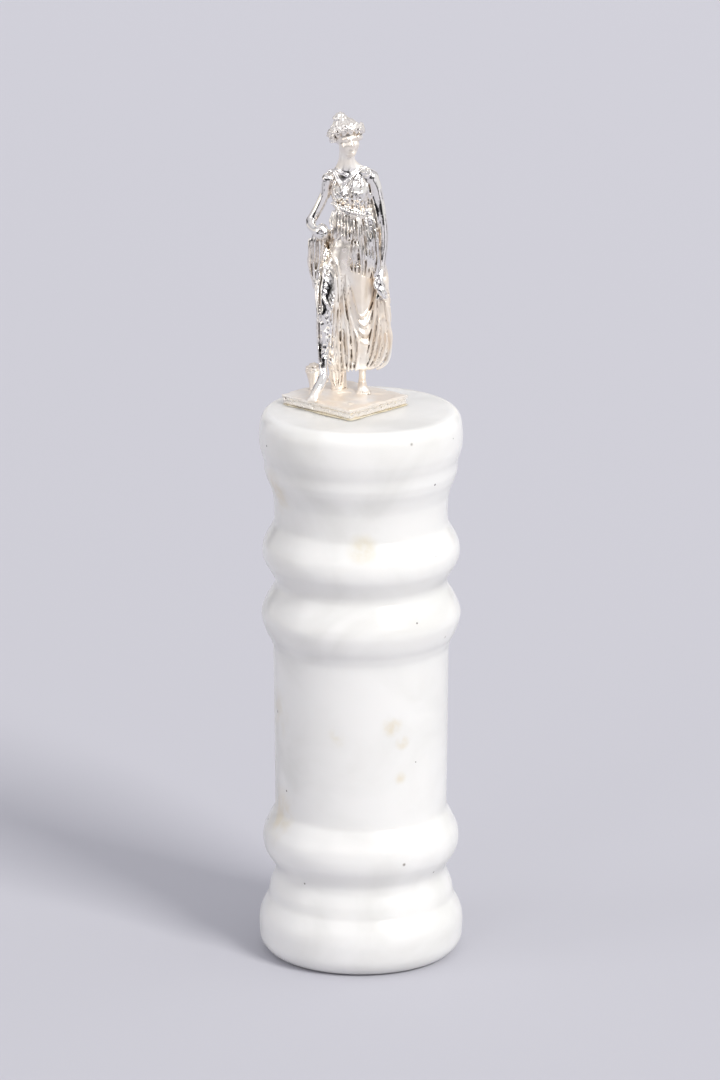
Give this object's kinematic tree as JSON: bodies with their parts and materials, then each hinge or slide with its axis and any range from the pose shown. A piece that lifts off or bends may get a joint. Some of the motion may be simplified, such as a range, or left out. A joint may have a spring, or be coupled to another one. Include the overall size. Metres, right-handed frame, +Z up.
{
  "type": "dancer figurine",
  "caption": "Standing dancer in bright cast silver on a square plate, set on a turned white marble pedestal with rounded rings.",
  "frame": {"origin": "centre of the pedestal's underside", "axes": "+Z up along the pedestal's axis, -Y towards the side that the dancer faces, +X towards her left hand"},
  "size_m": [0.0502, 0.0502, 0.2092],
  "materials": {
    "polished_white_marble": "polished stone",
    "bright_cast_silver": "bright as cast"
  },
  "bodies": {
    "root": {"marble_pedestal": "polished_white_marble", "silver_dancer": "bright_cast_silver"}
  },
  "joints": []
}
